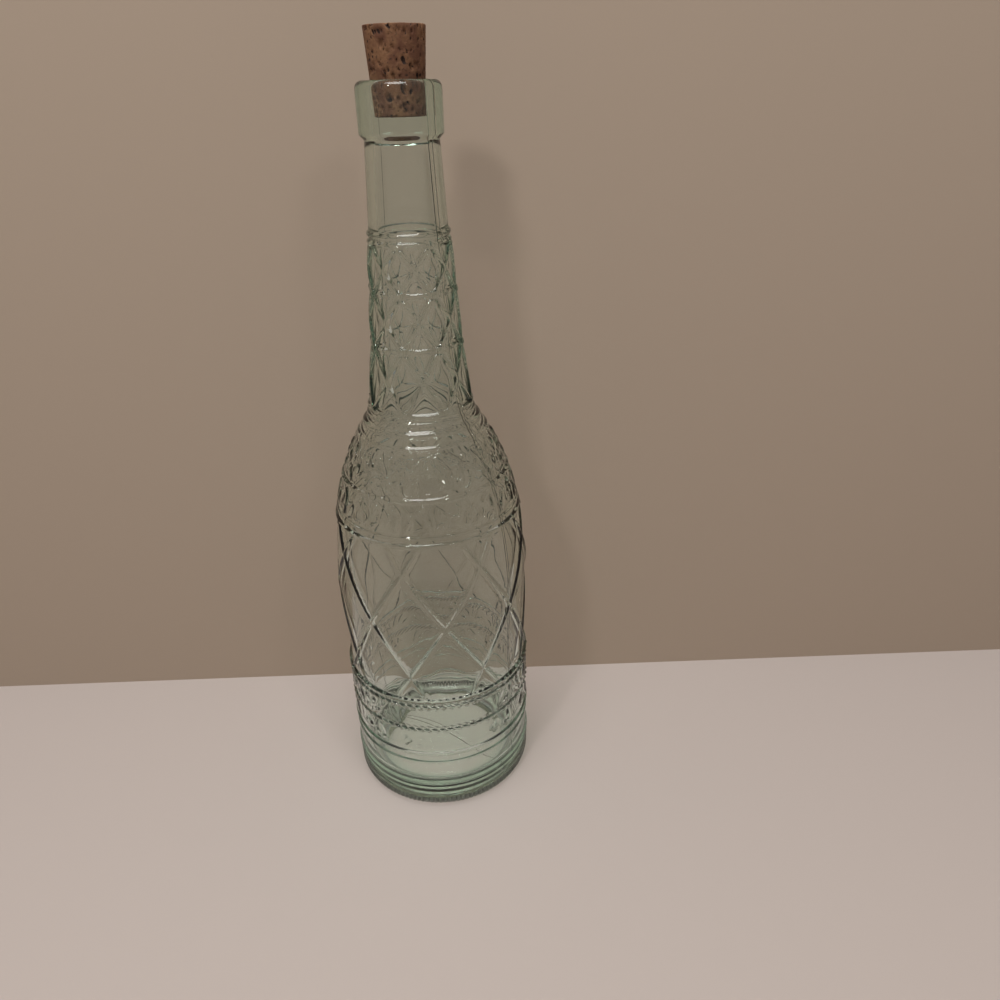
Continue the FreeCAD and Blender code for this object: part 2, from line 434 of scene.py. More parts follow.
@dataclass(frozen=True)
class Profile:
    """The half section of the bottle's glass.

    A ring is given by its half width and how far it stands proud. Rings, and the finer lines between
    them, lie at shares of the height of the band, the shoulder and the neck. The neck's shape says how
    much of the shoulder's flare is left at shares of the neck's height.
    """

    height: float = 290.0 * MM
    body_radius: float = 40.0 * MM
    band_radius: float = 39.6 * MM
    waist_radius: float = 39.1 * MM
    band_top: float = 61.8 * MM
    waist_height: float = 69.0 * MM
    belly_height: float = 105.0 * MM
    shoulder_rise: float = 69.2 * MM
    shoulder_reach: float = 1.2
    collar_height: float = 17.6 * MM
    collar_radius: float = 14.3 * MM
    collar_overhang: float = 1.55 * MM
    collar_step: float = 1.7 * MM
    lip_round: float = 2.4 * MM
    neck_lean: float = 0.045
    wall: float = 3.0 * MM
    neck_wall: float = 3.3 * MM
    mouth_narrowing: float = 0.3 * MM
    mouth_round: float = 0.8 * MM
    heel_round: float = 4.0 * MM
    stand_width: float = 4.2 * MM
    punt_depth: float = 5.5 * MM
    base_thickness: float = 6.5 * MM
    floor_corner: float = 12.0 * MM
    ring: tuple[float, float] = (1.15 * MM, 0.8 * MM)
    fine_ring: tuple[float, float] = (0.75 * MM, 0.55 * MM)
    band_rings: tuple[float, ...] = (0.235, 0.519, 1.0)
    band_lines: tuple[float, ...] = (0.128, 0.181, 0.443, 0.741, 0.945)
    shoulder_rings: tuple[float, ...] = (0.436, 0.682, 1.0)
    shoulder_lines: tuple[float, ...] = (0.485, 0.936)
    neck_rings: tuple[float, ...] = (0.065, 0.303, 0.501, 0.672, 0.700)
    neck_lines: tuple[float, ...] = (0.035,)
    neck_shape: tuple[tuple[float, float], ...] = (
        (0.065, 0.744), (0.303, 0.418), (0.700, 0.150), (1.0, 0.0),
    )
    samples: int = 240
    shoulder_samples: int = 600

    @property
    def junction(self) -> float:
        """Height where the shoulder meets the neck."""
        return self.belly_height + self.shoulder_rise

    @property
    def collar_foot(self) -> float:
        """Height of the underside of the collar."""
        return self.height - self.collar_height

    @property
    def neck_top_radius(self) -> float:
        """Radius of the neck just under the collar."""
        return self.collar_radius - self.collar_overhang

    @property
    def bore_radius(self) -> float:
        """Radius of the mouth."""
        return self.neck_top_radius - self.neck_wall - self.mouth_narrowing

    def shoulder_level(self, share: float) -> float:
        """Return the height at a share of the shoulder."""
        return self.belly_height + share * self.shoulder_rise

    def neck_level(self, share: float) -> float:
        """Return the height at a share of the neck."""
        return self.junction + share * (self.collar_foot - self.junction)

    def rings(self) -> list[tuple[float, float, float]]:
        """Find every moulded ring.

        Returns:
            The height of each, its half width and how far it stands proud.
        """
        found = []
        neck_rise = self.collar_foot - self.junction
        for foot, rise, main, fine in (
            (0.0, self.band_top, self.band_rings, self.band_lines),
            (self.belly_height, self.shoulder_rise, self.shoulder_rings, self.shoulder_lines),
            (self.junction, neck_rise, self.neck_rings, self.neck_lines),
        ):
            found += [(foot + share * rise, *self.ring) for share in main]
            found += [(foot + share * rise, *self.fine_ring) for share in fine]
        return sorted(found)

    def skin(self, inset: float, neck_inset: float) -> tuple[np.ndarray, np.ndarray]:
        """Sample the wall's outline from the band up to the collar.

        Args:
            inset: How far the body's outline is moved inwards.
            neck_inset: How far the neck's outline is moved inwards.

        Returns:
            The heights and the radii.
        """
        waist_points = np.array(
            [
                (self.band_radius - inset, self.band_top),
                (self.waist_radius - inset, self.waist_height),
                (self.body_radius - inset, self.belly_height),
            ]
        )
        waist = clamped_spline(waist_points, np.array((-0.1, 1.0)), np.array((0.0, 1.0)), self.samples)
        outer_rise = self.shoulder_rise * self.shoulder_reach
        junction_radius = self.body_radius * math.sqrt(1.0 - (self.shoulder_rise / outer_rise) ** 2)
        rise = outer_rise - inset
        reach = self.body_radius - inset
        end = self.shoulder_rise - 0.8 * inset
        lift = np.linspace(0.0, math.asin(end / rise), self.shoulder_samples)
        shoulder = np.stack((reach * np.cos(lift), self.belly_height + rise * np.sin(lift)), axis=1)
        neck_points = [shoulder[-1]]
        for height_share, flare in self.neck_shape:
            radius = self.neck_top_radius + flare * (junction_radius - self.neck_top_radius)
            neck_points.append((radius - neck_inset, self.neck_level(height_share)))
        slope = np.array((-reach * math.sin(lift[-1]), rise * math.cos(lift[-1])))
        neck_end = np.array((-self.neck_lean, 1.0))
        neck = clamped_spline(np.array(neck_points), slope, neck_end, self.samples)
        line = np.vstack((waist, shoulder[1:], neck[1:]))
        return line[:, 1], line[:, 0]

    def ring_relief(self, heights: np.ndarray) -> np.ndarray:
        """Measure how far the rings stand out.

        Args:
            heights: The heights to measure at.

        Returns:
            The relief at each height.
        """
        relief = np.zeros_like(heights)
        for level, half_width, proud in self.rings():
            share = (heights - level) / half_width
            relief = np.maximum(relief, proud * (1.0 - share**2))
        return relief


# ---- turned meshes ------------------------------------------------------------------------------


def even(count: int) -> np.ndarray:
    """Return evenly spaced column angles."""
    return np.arange(count) * TURN / count


@dataclass
class Row:
    """One level of a turned mesh: a circle of points, on the outside or the inside."""

    radius: float
    height: float
    angles: np.ndarray
    outside: float = 1.0


@dataclass(frozen=True)
class Corner:
    """A rounded corner of a turned outline, by its middle and its size."""

    radius: float
    height: float
    size: float

    def rows(self, degrees: Iterable[float], columns: np.ndarray, outside: float = 1.0) -> list[Row]:
        """Lay rows round the corner.

        Args:
            degrees: Where the rows lie, from straight down and turning outwards.
            columns: The angles of their columns.
            outside: 1 on the outer wall and 0 on the inner one.

        Returns:
            The rows.
        """
        turns = [math.radians(degree) for degree in degrees]
        return [
            Row(self.radius + self.size * math.sin(turn), self.height - self.size * math.cos(turn),
                columns, outside)
            for turn in turns
        ]


def dome_drop(reach: float, rise: float, share: float) -> float:
    """Return how far a shallow dome has fallen below its top at a share of its reach."""
    sphere = (reach**2 + rise**2) / (2.0 * rise)
    return sphere - math.sqrt(sphere**2 - (share * reach) ** 2)


class LatheMesh:
    """A closed mesh of circles of points, each with its own number of columns."""

    def __init__(self) -> None:
        """Start empty."""
        self.points: list[tuple[float, float, float]] = []
        self.faces: list[tuple[int, ...]] = []
        self.outside: list[float] = []

    def circle(self, row: Row) -> np.ndarray:
        """Add a row's points.

        Args:
            row: The row; one of no radius is a single point.

        Returns:
            The points' numbers.
        """
        first = len(self.points)
        if row.radius <= 0.0:
            self.points.append((0.0, 0.0, row.height))
            self.outside.append(row.outside)
            return np.array([first])
        for angle in row.angles:
            across, forward = row.radius * math.sin(angle), row.radius * math.cos(angle)
            self.points.append((across, -forward, row.height))
        self.outside += [row.outside] * len(row.angles)
        return np.arange(first, len(self.points))

    def zip_rows(
        self, low: np.ndarray, low_angles: np.ndarray, high: np.ndarray, high_angles: np.ndarray
    ) -> None:
        """Join two neighbouring circles with faces.

        Args:
            low: Point numbers of the first circle.
            low_angles: Its angles.
            high: Point numbers of the next circle.
            high_angles: Its angles.
        """
        n, m = len(low), len(high)
        if n == 1:
            self.faces += [(low[0], high[(k + 1) % m], high[k]) for k in range(m)]
        elif m == 1:
            self.faces += [(low[k], low[(k + 1) % n], high[0]) for k in range(n)]
        elif n == m:
            for k in range(n):
                after = (k + 1) % n
                self.faces.append((low[k], low[after], high[after], high[k]))
        else:
            i = j = 0
            while i < n or j < m:
                next_low = low_angles[(i + 1) % n] + TURN * ((i + 1) // n)
                next_high = high_angles[(j + 1) % m] + TURN * ((j + 1) // m)
                if j >= m or (i < n and next_low <= next_high):
                    self.faces.append((low[i % n], low[(i + 1) % n], high[j % m]))
                    i += 1
                else:
                    self.faces.append((low[i % n], high[(j + 1) % m], high[j % m]))
                    j += 1

    def build(self, name: str, rows: list[Row]) -> bpy.types.Object:
        """Make the object of a chain of rows.

        Args:
            name: The object's name.
            rows: The rows in order, the first and last one a pole.

        Returns:
            The object, linked to the scene.
        """
        before = None
        for row in rows:
            numbers = self.circle(row)
            if before is not None:
                self.zip_rows(before[0], before[1], numbers, row.angles)
            before = (numbers, row.angles)
        mesh = bpy.data.meshes.new(name)
        mesh.from_pydata(self.points, [], [tuple(int(i) for i in face) for face in self.faces])
        skin = mesh.attributes.new("outside", "FLOAT", "POINT")
        skin.data.foreach_set("value", np.array(self.outside, dtype=np.float32))
        mesh.polygons.foreach_set("use_smooth", np.ones(len(mesh.polygons), dtype=bool))
        mesh.update()
        made = bpy.data.objects.new(name, mesh)
        bpy.context.scene.collection.objects.link(made)
        return made


# ---- the glass ----------------------------------------------------------------------------------


@dataclass(frozen=True)
class Lattice:
    """Crossing ribs, given by how many half cells they have turned at each of a few levels.

    The ribs' width, crest and height are in millimetres, as is how far from a rib the wall between is
    fully hollowed; the levels are in metres. Columns of the mesh crowd within a width of each rib.
    """

    levels: tuple[tuple[float, float], ...]
    half_width: float = 0.9
    half_crest: float = 0.15
    proud: float = 1.0
    hollow_end: float = 7.6
    pairs: int = 8
    crowding: float = 3.4
    crowded_width: float = 1.05 * MM

    @property
    def half_cell(self) -> float:
        """Angle of half a cell."""
        return math.pi / self.pairs

    def turned(self, height: float) -> float:
        """Return the half cells turned at a height."""
        heights, cells = zip(*self.levels)
        return float(np.interp(height, heights, cells))

    def columns(self, height: float, radius: float, count: int) -> np.ndarray:
        """Place columns so that they crowd where ribs stand.

        Args:
            height: The row's height.
            radius: Its radius.
            count: How many columns.

        Returns:
            The angles of the columns.
        """
        fine = np.linspace(0.0, TURN, 8193)
        cells = fine / self.half_cell
        density = np.ones_like(fine)
        for sign in (-1.0, 1.0):
            away = (cells - sign * self.turned(height) + 1.0) % 2.0 - 1.0
            spread = away * self.half_cell * radius / self.crowded_width
            density = np.maximum(density, 1.0 + self.crowding * np.exp(-(spread**4)))
        mass = np.concatenate(((0.0,), np.cumsum(0.5 * (density[1:] + density[:-1]))))
        return np.interp(np.arange(count) / count * mass[-1], mass, fine)

    def ribs(self, angle: Wire, height: Wire, radius: Wire) -> Wire:
        """Return the millimetres from the nearest rib's middle line.

        Args:
            angle: Angle round the bottle.
            height: Height in millimetres.
            radius: Radius in millimetres.

        Returns:
            The distance along the wall.
        """
        turned = self.levels[0][1]
        for (low, low_cells), (high, high_cells) in zip(self.levels, self.levels[1:]):
            share = ((height - low * PER_MM) / ((high - low) * PER_MM)).larger(0.0).smaller(1.0)
            turned = turned + share * (high_cells - low_cells)
        foot, top = self.levels[0], self.levels[-1]
        rise = (top[0] - foot[0]) / (top[1] - foot[1]) * PER_MM
        around = angle / self.half_cell
        steep = 1.0 / (radius * self.half_cell)
        scale = steep.hypot(1.0 / rise)
        one = abs((around - turned).wrapped(2.0))
        other = abs((around + turned).wrapped(2.0))
        return one.smaller(other) / scale


@dataclass
class GlassBottle:
    """The bottle's glass, one closed skin with its moulded relief, whose heights are in millimetres."""

    profile: Profile = Profile()
    plain_columns: int = 120
    rib_columns: int = 208
    leaf_columns: int = 368
    bead_columns: int = 480
    rib_height: float = 0.645
    leaf_height: float = 0.6
    rope_height: float = 0.75
    bead_height: float = 1.3
    hollow: float = 0.28
    waviness: float = 0.16
    rope_strands: int = 76
    beads: int = 120
    bead_level: float = 3.6
    bead_top: float = 6.2 * MM
    leaf_spacing: float = 0.86 * MM
    rib_spacing: float = 1.15 * MM

    def __post_init__(self) -> None:
        """Work out the lattices and the bands from the profile."""
        shape = self.profile
        knots = [shape.neck_level(share) for share in shape.neck_rings[:4]]
        first_ring, band_ring = (shape.shoulder_level(share) for share in shape.shoulder_rings[:2])
        low_ring = shape.band_rings[1] * shape.band_top
        belly_turns, crossing = 2.9, 0.495
        self.belly_lattice = Lattice(
            ((shape.band_top, -crossing * belly_turns), (first_ring, (1.0 - crossing) * belly_turns))
        )
        self.neck_lattice = Lattice(
            tuple((level, 2.0 * row - 1.0) for row, level in enumerate(knots)),
            half_width=1.15, half_crest=0.35, proud=1.35, hollow_end=3.7,
        )
        self.ropes = tuple(share * shape.band_top for share in shape.band_lines[3:])
        self.bands = (
            # A vine round the upper shoulder.
            Band(
                band_ring, shape.shoulder_level(shape.shoulder_lines[1]), 29.3 * MM, 9,
                (
                    Tendril(4.9, -2.0, 2.7, 0.9), Tendril(-4.9, 2.0, 2.7, 0.9),
                    Leaf(1.2, 2.2, -38.0, 5.6, 3.6), Leaf(-1.2, -2.2, 142.0, 5.6, 3.6),
                    Leaf(8.6, 2.0, 44.0, 5.4, 3.4), Leaf(-8.6, -2.0, 224.0, 5.4, 3.4),
                    Leaf(4.9, -3.4, 0.0, 4.0, 3.0), Leaf(-4.9, 3.4, 180.0, 4.0, 3.0),
                ),
                stem=Stem(4.4, 1.0, 1.0), turned=0.12,
            ),
            # Scrolls and leaves round the lower shoulder.
            Band(
                shape.shoulder_level(shape.shoulder_lines[0]), band_ring, 34.6 * MM, 8,
                (
                    Tendril(-8.4, -2.2, 4.4, 0.9), Tendril(5.2, 2.0, 4.4, 0.9),
                    Leaf(-1.6, -5.8, -10.0, 10.4, 3.2), Leaf(0.6, -5.8, 26.0, 9.6, 3.0),
                    Leaf(11.4, -5.8, 8.0, 9.6, 3.2), Leaf(-12.4, -5.8, 26.0, 7.4, 2.8),
                    Leaf(-3.6, 5.6, 232.0, 6.4, 2.6), Leaf(10.0, 5.6, 148.0, 5.4, 2.6),
                ),
            ),
            # Fans of feather leaves between the ropes, at the sides and the back.
            Band(
                self.ropes[0], self.ropes[1], shape.band_radius, 12,
                (
                    Leaf(0.0, -6.2, 0.0, 12.2, 3.2), Leaf(10.3, 6.2, 180.0, 6.0, 3.0),
                    *(Leaf(0.0, -6.2, lean, 12.6, 3.0) for lean in (30.0, -30.0)),
                    *(Leaf(0.0, -6.2, lean, 11.4, 2.8) for lean in (58.0, -58.0)),
                ),
                quiet_front=0.62,
            ),
            # Blossoms between fans of leaves below them.
            Band(
                low_ring, self.ropes[0], shape.band_radius, 12,
                (
                    *(Leaf(0.0, 0.0, lean, 3.2, 3.0) for lean in (0.0, 90.0, 180.0, 270.0)),
                    *(Leaf(10.3, -5.8, lean, 11.0, 3.0) for lean in (16.0, -16.0)),
                    *(Leaf(10.3, -5.8, lean, 8.6, 2.8) for lean in (48.0, -48.0)),
                ),
                quiet_front=0.30,
            ),
        )

    def levels(self, foot: float, top: float, spacing: float) -> np.ndarray:
        """Choose row heights for a stretch of wall, closer on the moulded rings.

        Args:
            foot: Lowest height.
            top: Highest height.
            spacing: Distance between rows on plain wall.

        Returns:
            The heights, rising.
        """
        plain = np.linspace(foot, top, max(2, round((top - foot) / spacing) + 1))
        chosen = list(plain[[0, -1]])
        inner = plain[1:-1]
        for level, half_width, _ in self.profile.rings():
            inner = inner[np.abs(inner - level) > 1.6 * half_width]
            broad = half_width > self.profile.fine_ring[0]
            # Shares of the ring's half width, with rows just inside and outside its edge.
            steps = (0.5, 0.86, 1.04, 1.3) if broad else (0.6, 1.0, 1.35)
            near = level + half_width * np.array([-step for step in steps] + [0.0] + list(steps))
            chosen += list(near[(near > foot + 0.2 * MM) & (near < top - 0.2 * MM)])
        return np.unique(np.concatenate((chosen, inner)))

    def foot_rows(self) -> list[Row]:
        """Lay out the foot.

        Returns:
            The rows from the middle of the foot out to the top of the heel.
        """
        shape = self.profile
        stand_outer = shape.band_radius - shape.heel_round
        stand_inner = stand_outer - shape.stand_width
        plain = even(self.plain_columns)
        rows = []
        for share in (0.0, 0.08, 0.25, 0.5, 0.75, 0.92, 1.0):
            drop = dome_drop(stand_inner, shape.punt_depth, share)
            rows.append(Row(share * stand_inner, shape.punt_depth - drop, plain, 0.0))
        rows.append(Row(0.5 * (stand_inner + stand_outer), 0.0, plain, 0.0))
        rows.append(Row(stand_outer, 0.0, plain, 0.0))
        heel = Corner(stand_outer, shape.heel_round, shape.heel_round)
        rows += heel.rows((25.0,), plain)
        return rows + heel.rows((45.0, 58.0, 72.0, 90.0), even(self.bead_columns))

    def outer_rows(self) -> list[Row]:
        """Lay out the outer wall, with fine columns where relief stands.

        Returns:
            The rows from the heel up to the collar.
        """
        shape = self.profile
        heights, radii = shape.skin(0.0, 0.0)
        # Columns change in number clear of any ring. A zone is its foot and top, the spacing of its
        # rows, its columns and the ribs that they crowd on.
        clear_of_ring = 3.0 * MM
        leaf_foot = shape.band_rings[1] * shape.band_top + clear_of_ring
        belly_foot = shape.band_top + clear_of_ring
        belly_top = self.belly_lattice.levels[-1][0] - clear_of_ring
        leaf_top = shape.junction - 2.4 * MM
        neck_end = shape.neck_level(shape.neck_rings[-1]) + clear_of_ring
        zones = (
            (shape.heel_round + 0.7 * MM, self.bead_top, 0.75 * MM, self.bead_columns, None),
            (self.bead_top, leaf_foot, 2.6 * MM, self.plain_columns, None),
            (leaf_foot, belly_foot, self.leaf_spacing, self.leaf_columns, None),
            (belly_foot, belly_top, self.rib_spacing, self.rib_columns, self.belly_lattice),
            (belly_top, leaf_top, self.leaf_spacing, self.leaf_columns, None),
            (leaf_top, neck_end, self.rib_spacing, self.rib_columns, self.neck_lattice),
            (neck_end, shape.collar_foot, 2.8 * MM, self.plain_columns, None),
        )
        rows = []
        for foot, top, spacing, count, lattice in zones:
            for height in self.levels(foot, top, spacing)[(1 if rows else 0):]:
                radius = shape.band_radius
                if height > shape.band_top:
                    radius = float(np.interp(height, heights, radii))
                radius += float(shape.ring_relief(np.array([height]))[0])
                angles = even(count)
                if lattice is not None:
                    angles = lattice.columns(height, radius, count)
                rows.append(Row(radius, height, angles))
        return rows

    def collar_rows(self) -> list[Row]:
        """Lay out the collar.

        Returns:
            The rows up the collar, over the lip and down to the foot of the mouth's rounding.
        """
        shape = self.profile
        plain = even(self.plain_columns)
        foot = shape.collar_foot
        rows = []
        for share in (0.12, 0.5, 0.88):
            radius = shape.neck_top_radius + share * shape.collar_overhang
            rows.append(Row(radius, foot + share * shape.collar_step, plain))
        step_top = foot + shape.collar_step
        lip_foot = shape.height - shape.lip_round
        rows.append(Row(shape.collar_radius - 0.02 * MM, step_top + 0.12 * MM, plain))
        for height in np.linspace(step_top + 0.6 * MM, lip_foot, 5):
            rows.append(Row(shape.collar_radius, float(height), plain))
        lip = Corner(shape.collar_radius - shape.lip_round, lip_foot, shape.lip_round)
        rows += lip.rows(range(105, 195, 15), plain)
        mouth = Corner(
            shape.bore_radius + shape.mouth_round, shape.height - shape.mouth_round, shape.mouth_round
        )
        rows.append(Row(0.5 * (mouth.radius + lip.radius), shape.height, plain, 0.0))
        return rows + mouth.rows(range(180, 300, 30), plain, 0.0)

    def inner_rows(self) -> list[Row]:
        """Lay out the inner wall.

        Returns:
            The rows from under the mouth down to the middle of the floor.
        """
        shape = self.profile
        plain = even(self.plain_columns)
        heights, radii = shape.skin(shape.wall, shape.neck_wall)
        rows = []
        mouth_foot = shape.height - shape.mouth_round
        bore_foot = shape.neck_top_radius - shape.neck_wall
        for share in (0.3, 0.65, 0.93, 1.0):
            radius = shape.bore_radius + share * (bore_foot - shape.bore_radius)
            rows.append(Row(radius, mouth_foot + share * (shape.collar_foot - mouth_foot), plain, 0.0))
        corner_top = shape.base_thickness + shape.floor_corner
        shoulder_foot = shape.junction - 0.3 * (shape.junction - shape.band_top)
        inside = shape.band_radius - shape.wall
        for height in np.concatenate(
            (
                np.linspace(shape.collar_foot, shape.junction, 22)[1:-1],
                np.linspace(shape.junction, shoulder_foot, 13),
                np.linspace(shoulder_foot, corner_top, 26)[1:],
            )
        ):
            radius = inside if height <= shape.band_top else float(np.interp(height, heights, radii))
            rows.append(Row(radius, float(height), plain, 0.0))
        floor = Corner(inside - shape.floor_corner, corner_top, shape.floor_corner)
        rows += floor.rows((*range(78, 0, -12), 0), plain, 0.0)
        apex = shape.base_thickness + shape.punt_depth
        for share in (0.8, 0.6, 0.4, 0.2, 0.07, 0.0):
            drop = dome_drop(floor.radius, shape.punt_depth, share)
            rows.append(Row(share * floor.radius, apex - drop, plain, 0.0))
        return rows

    def relief_tree(self) -> bpy.types.NodeTree:
        """Write the Geometry Nodes tree that raises the moulded relief along the wall's normal.

        Returns:
            The tree, with its heights, waviness and material as inputs.
        """
        names = ("Rib height", "Leaf height", "Rope height", "Bead height", "Hollow", "Waviness")
        relief = ReliefTree("moulded relief", names)
        tree, given = relief.tree, relief.given
        x, y, z = (part * PER_MM for part in split(tree, relief.place))
        angle = x.math("ARCTAN2", -y)
        radius = x.hypot(y)
        outside = add_node(
            tree, "GeometryNodeInputNamedAttribute", {"data_type": "FLOAT"}, {"Name": "outside"}
        )
        outer = Wire(tree, outside.outputs["Attribute"])

        raised = 0.0
        for lattice in (self.belly_lattice, self.neck_lattice):
            foot, top = lattice.levels[0][0] * PER_MM, lattice.levels[-1][0] * PER_MM
            here = (z - foot).ramp(-0.2, 0.6) * (top - z).ramp(-0.2, 0.6)
            away = lattice.ribs(angle, z, radius)
            crest = (1.0 - away.ramp(lattice.half_crest, lattice.half_width)) * lattice.proud
            between = away.ramp(lattice.half_width, lattice.hollow_end)
            raised = raised + here * (given["Rib height"] * crest - given["Hollow"] * between)
        for band in self.bands:
            raised = raised + given["Leaf height"] * band.field(angle, z)
        for level in self.ropes:
            aside = z - level * PER_MM
            strand = 0.4 - rope_grooves(angle, aside, self.rope_strands)
            raised = raised + given["Rope height"] * strand * (1.0 - abs(aside).ramp(0.7, 1.3))
        notch = bead_grooves(angle, self.beads) ** 3.0
        here = 1.0 - abs(z - self.bead_level).ramp(1.5, 2.4)
        raised = raised + given["Bead height"] * (0.35 - notch) * here

        # The inner wall is faintly wavy from above the floor to below the mouth.
        wave = noise(tree, {"Scale": 34.0, "Detail": 1.5, "Roughness": 0.45}) - 0.5
        wavy = wave * given["Waviness"] * z.ramp(7.0, 24.0) * (1.0 - z.ramp(262.0, 272.0))
        return relief.raised((raised * outer + wavy * (1.0 - outer)) * MM)

    def build(self, finish: bpy.types.Material) -> bpy.types.Object:
        """Build the bottle and dress it.

        Args:
            finish: The glass.

        Returns:
            The finished object.
        """
        rows = self.foot_rows() + self.outer_rows() + self.collar_rows() + self.inner_rows()
        base = LatheMesh().build("glass_bottle", rows)
        values = {
            "Rib height": self.rib_height,
            "Leaf height": self.leaf_height,
            "Rope height": self.rope_height,
            "Bead height": self.bead_height,
            "Hollow": self.hollow,
            "Waviness": self.waviness,
            "Material": finish,
        }
        return grow(base, self.relief_tree(), values)


# ---- the cork -----------------------------------------------------------------------------------


def cork_pores(tree: bpy.types.NodeTree, place: bpy.types.NodeSocket) -> tuple[Wire, bpy.types.NodeSocket]:
    """Write where the cork's pores lie: short slanted holes, crowded in places.

    Args:
        tree: A geometry or a shader tree.
        place: The place on the cork.

    Returns:
        A wire that is 1 in a pore, and the slanted place that pores and grain follow.
    """
    bend = add_node(tree, "ShaderNodeTexNoise", None, {"Vector": place, "Scale": 160.0, "Detail": 1.0})
    shift = add_node(
        tree, "ShaderNodeVectorMath", {"operation": "MULTIPLY_ADD"},
        {0: bend.outputs["Color"], 1: (0.004, 0.004, 0.002), 2: place},
    )
    x, y, z = split(tree, shift.outputs[0])
    parts = {0: x + z * 0.35, 1: y, 2: z * 0.55}
    slanted = add_node(tree, "ShaderNodeCombineXYZ", None, parts).outputs[0]
    holes = []
    for scale, least in ((560.0, 0.36), (980.0, 0.40)):
        values = {"Vector": slanted, "Scale": scale}
        cells = add_node(tree, "ShaderNodeTexVoronoi", {"feature": "F1"}, values)
        size = (split(tree, cells.outputs["Color"])[0] - least) * 0.66
        holes.append(1.0 - (Wire(tree, cells.outputs["Distance"]) - size).ramp(-0.04, 0.10))
    return reduce(Wire.larger, holes), slanted


@dataclass
class CorkStopper:
    """The tapered cork, wedged in the mouth."""

    foot: float
    top: float
    foot_radius: float = 8.4 * MM
    top_radius: float = 10.1 * MM
    edge: float = 0.4 * MM
    columns: int = 168
    pore_depth: float = 0.7
    grain_depth: float = 0.12

    def rows(self) -> list[Row]:
        """Lay out the cork.

        Returns:
            The rows from the middle of the foot to the middle of the top.
        """
        angles = even(self.columns)
        slope = (self.top_radius - self.foot_radius) / (self.top - self.foot)
        rows = [Row(0.0, self.foot, angles)]
        foot_flat = self.foot_radius - self.edge
        for share in (0.05, 0.2, 0.4, 0.6, 0.8, 1.0):
            rows.append(Row(foot_flat * share, self.foot, angles))
        rows.append(Row(self.foot_radius - 0.25 * self.edge, self.foot + 0.3 * self.edge, angles))
        for height in np.linspace(self.foot + self.edge, self.top - self.edge, 52):
            rows.append(Row(self.foot_radius + slope * (float(height) - self.foot), float(height), angles))
        rows.append(Row(self.top_radius - 0.25 * self.edge, self.top - 0.3 * self.edge, angles))
        top_flat = self.top_radius - self.edge
        for share in (1.0, 0.94, 0.88, 0.8, 0.72, 0.64, 0.55, 0.46, 0.36, 0.26, 0.16, 0.07):
            rows.append(Row(top_flat * share, self.top, angles))
        rows.append(Row(0.0, self.top, angles))
        return rows

    def bark_tree(self) -> bpy.types.NodeTree:
        """Write the Geometry Nodes tree that sinks pores and grain into the cork.

        Returns:
            The tree, with its depths and material as inputs.
        """
        relief = ReliefTree("cork pores", ("Pore depth", "Grain depth"))
        tree, given = relief.tree, relief.given
        pore, slanted = cork_pores(tree, relief.place)
        grain = noise(tree, {"Vector": slanted, "Scale": 700.0, "Detail": 3.0})
        return relief.raised((given["Pore depth"] * pore + given["Grain depth"] * grain) * -MM)

    def build(self, finish: bpy.types.Material) -> bpy.types.Object:
        """Build the cork and dress it.

        Args:
            finish: The cork's finish.

        Returns:
            The finished object.
        """
        base = LatheMesh().build("cork_stopper", self.rows())
        values = {"Pore depth": self.pore_depth, "Grain depth": self.grain_depth, "Material": finish}
        return grow(base, self.bark_tree(), values)


# ---- finishes -----------------------------------------------------------------------------------


def new_material(name: str) -> tuple[bpy.types.Material, bpy.types.NodeTree, bpy.types.Node]:
    """Start a material with nothing but its output.

    Args:
        name: The material's name.

    Returns:
        The material, its tree and its output node.
    """
    material = bpy.data.materials.new(name)
    material.use_nodes = True
    tree = material.node_tree
    tree.nodes.clear()
    return material, tree, add_node(tree, "ShaderNodeOutputMaterial")


